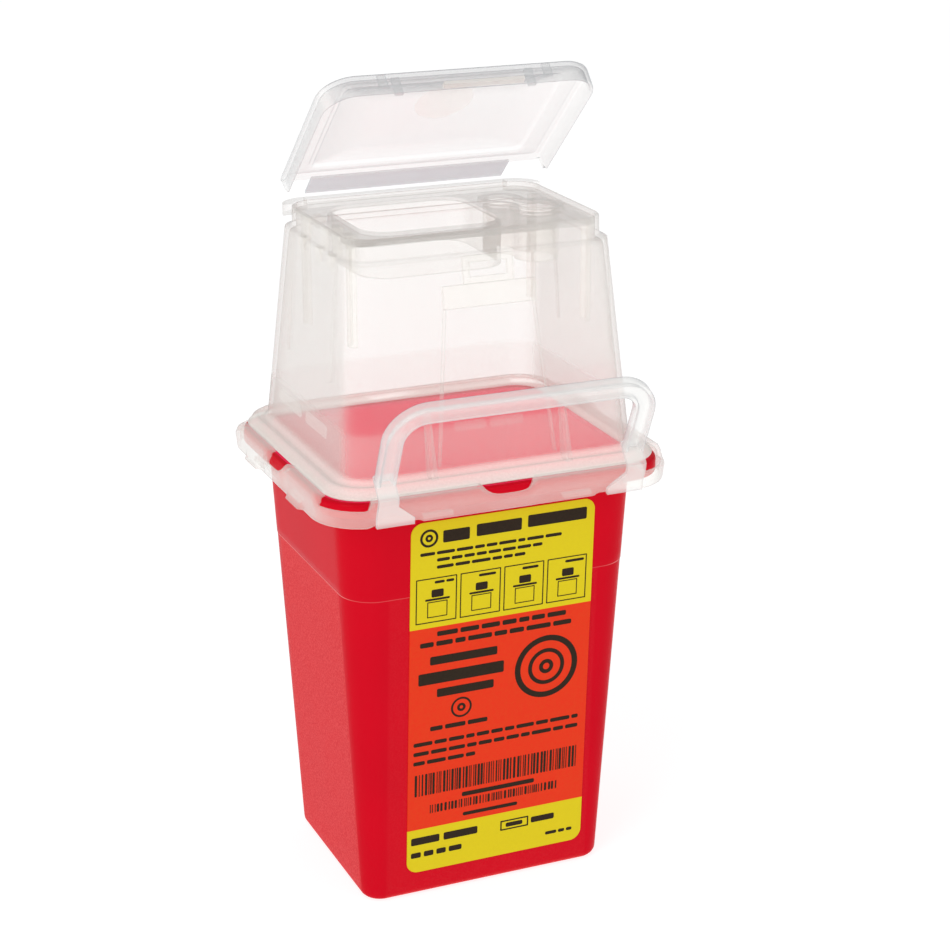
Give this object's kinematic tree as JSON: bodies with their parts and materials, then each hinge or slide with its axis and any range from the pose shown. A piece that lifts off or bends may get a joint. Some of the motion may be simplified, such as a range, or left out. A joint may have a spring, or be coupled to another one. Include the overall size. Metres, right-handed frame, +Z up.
{
  "type": "sharps container",
  "caption": "Upright tapered bin with a translucent tapered top that snaps over its rim, a flip lid over a drop opening and a folding bail handle.",
  "frame": {"origin": "centre of the flat foot of the bin, on the surface it stands on", "axes": "+Z up, -Y the front with the label and the handle, +Y the back with the lid's hinge, +X to the right seen from the front"},
  "size_m": [0.1246, 0.1203, 0.2747],
  "materials": {
    "bin_red": "glossy, with a fine grain on the lower faces",
    "top_clear": "translucent polypropylene, glossy",
    "lid_clear": "clear polypropylene, glossy",
    "label_paper": "printed paper"
  },
  "bodies": {
    "bin": {"bin_shell": "bin_red", "bin_rim": "bin_red", "front_label": "label_paper"},
    "top": {"dome_shell": "top_clear", "rim_wall": "top_clear", "top_deck": "top_clear", "deposit_chute": "top_clear", "left_pillars": "top_clear", "unwinder_plate": "top_clear", "unwinder_well": "top_clear", "hinge_ledge": "top_clear", "rear_ears": "top_clear", "corner_posts": "top_clear", "front_frame": "top_clear", "front_bar": "top_clear", "wall_ribs": "top_clear", "handle_rests": "top_clear", "foot_flange": "top_clear", "front_collar": "top_clear", "rear_collar": "top_clear", "left_collar": "top_clear", "right_collar": "top_clear", "front_left_bumper": "top_clear", "front_right_bumper": "top_clear", "rear_left_bumper": "top_clear", "rear_right_bumper": "top_clear", "release_tabs": "top_clear", "snap_hooks": "top_clear"},
    "lid": {"lid_frame": "lid_clear", "lid_panel": "lid_clear", "lid_skirt": "lid_clear", "lid_strip": "lid_clear", "lid_clips": "lid_clear", "lid_pegs": "lid_clear", "thumb_tab": "lid_clear", "gate_mark": "lid_clear"},
    "handle": {"handle_bow": "top_clear", "handle_straps": "top_clear"}
  },
  "joints": [
    {"name": "top_lift", "type": "slide", "parent": "bin", "child": "top", "axis": [0, 0, 1], "range_m": [0, 0.05], "deforming": ["snap_hooks"]},
    {"name": "lid_hinge", "type": "hinge", "parent": "top", "child": "lid", "pos_m": [0, 0.0356, 0.2277], "axis": [-1, 0, 0], "range_deg": [-42.5, 137.5]},
    {"name": "handle_hinge", "type": "hinge", "parent": "top", "child": "handle", "pos_m": [0, -0.0539, 0.142], "axis": [1, 0, 0], "range_deg": [0, 150]}
  ]
}
